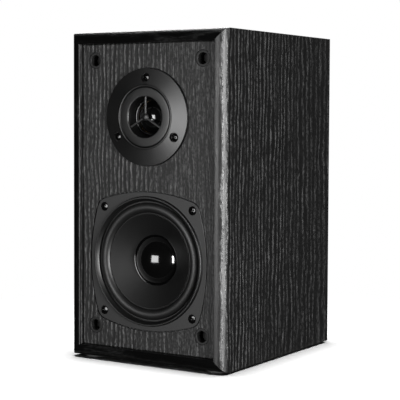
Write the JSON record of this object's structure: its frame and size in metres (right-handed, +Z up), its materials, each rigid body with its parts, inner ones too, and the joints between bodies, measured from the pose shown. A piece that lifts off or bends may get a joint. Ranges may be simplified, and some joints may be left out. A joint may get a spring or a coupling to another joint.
{
  "type": "bookshelf speaker",
  "caption": "Two-way bookshelf loudspeaker in a black ash cabinet with a recessed baffle, dome tweeter, cone woofer and rear spring terminals.",
  "frame": {"origin": "on the surface that the foot pads stand on, at the middle of the whole object's width and depth", "axes": "+Z up, the drivers and baffle face -Y, +X is to the right seen from the front"},
  "size_m": [0.14, 0.17, 0.2515],
  "materials": {
    "black_ash": "satin",
    "rear_board": "matte",
    "bare_board": "matte",
    "foot_rubber": "matte",
    "wadding": "matte",
    "black_plastic": "satin",
    "red_plastic": "gloss",
    "black_gloss_plastic": "gloss",
    "dome_fabric": "gloss",
    "basket_paint": "satin",
    "surround_rubber": "satin",
    "cone_paper": "satin",
    "former_paper": "matte",
    "copper": "gloss",
    "spider_cloth": "matte",
    "plated_steel": "satin",
    "black_screw": "gloss",
    "ferrite": "matte",
    "foam": "matte",
    "fibre_board": "matte",
    "brass": "satin",
    "circuit_board": "satin",
    "nylon": "satin",
    "capacitor_film": "gloss",
    "resistor_ceramic": "matte",
    "wire_insulation": "satin"
  },
  "bodies": {
    "cabinet": {"left_side_panel": "black_ash", "right_side_panel": "black_ash", "top_panel": "black_ash", "bottom_panel": "black_ash", "front_baffle": "black_ash", "rear_panel": "rear_board", "baffle_cleats": "bare_board", "foot_pads": "foot_rubber", "damping_pads": "wadding", "grille_sockets": "black_plastic", "tweeter_faceplate": "black_plastic", "tweeter_guard": "black_plastic", "woofer_trim_ring": "black_plastic", "terminal_cup": "black_plastic", "woofer_basket": "basket_paint", "woofer_inductor": "copper", "woofer_top_plate": "plated_steel", "woofer_back_plate": "plated_steel", "tweeter_top_plate": "plated_steel", "tweeter_back_plate": "plated_steel", "lever_pins": "plated_steel", "terminal_spring_red": "plated_steel", "terminal_spring_black": "plated_steel", "crossover_screws": "plated_steel", "woofer_screws": "black_screw", "tweeter_screws": "black_screw", "terminal_screws": "black_screw", "woofer_magnet": "ferrite", "tweeter_magnet": "ferrite", "woofer_gasket": "foam", "tweeter_gasket": "foam", "woofer_terminal_strip": "fibre_board", "tweeter_terminal_strip": "fibre_board", "woofer_terminal_lugs": "brass", "tweeter_terminal_lugs": "brass", "terminal_contacts": "brass", "crossover_tabs": "brass", "lead_connectors": "brass", "crossover_board": "circuit_board", "crossover_spacers": "nylon", "tweeter_capacitor": "capacitor_film", "woofer_capacitor": "capacitor_film", "attenuator_resistor": "resistor_ceramic", "input_leads": "wire_insulation", "woofer_leads": "wire_insulation", "tweeter_leads": "wire_insulation"},
    "woofer_cone": {"woofer_cone": "cone_paper", "woofer_dust_cap": "black_gloss_plastic", "woofer_surround": "surround_rubber", "woofer_spider": "spider_cloth", "woofer_coil_former": "former_paper", "woofer_voice_coil": "copper", "woofer_tinsel_leads": "copper"},
    "tweeter_dome": {"tweeter_dome": "dome_fabric", "tweeter_surround": "surround_rubber", "tweeter_coil_former": "former_paper", "tweeter_voice_coil": "copper"},
    "lever_red": {"terminal_lever_red": "red_plastic"},
    "lever_black": {"terminal_lever_black": "black_gloss_plastic"}
  },
  "joints": [
    {"name": "woofer_cone_travel", "type": "slide", "parent": "cabinet", "child": "woofer_cone", "axis": [0, -1, 0], "range_m": [-0.003, 0.003], "stiffness_N_per_m": 1500, "deforming": ["woofer_surround", "woofer_spider", "woofer_tinsel_leads"]},
    {"name": "tweeter_dome_travel", "type": "slide", "parent": "cabinet", "child": "tweeter_dome", "axis": [0, -1, 0], "range_m": [-0.0003, 0.0003], "stiffness_N_per_m": 500, "deforming": ["tweeter_surround"]},
    {"name": "lever_red_press", "type": "hinge", "parent": "cabinet", "child": "lever_red", "pos_m": [-0.013, 0.076, 0.0745], "axis": [-1, 0, 0], "range_deg": [0, 14], "stiffness_Nm_per_rad": 0.05, "springref_deg": -17.19, "deforming": ["terminal_spring_red"]},
    {"name": "lever_black_press", "type": "hinge", "parent": "cabinet", "child": "lever_black", "pos_m": [0.013, 0.076, 0.0745], "axis": [-1, 0, 0], "range_deg": [0, 14], "stiffness_Nm_per_rad": 0.05, "springref_deg": -17.19, "deforming": ["terminal_spring_black"]}
  ]
}
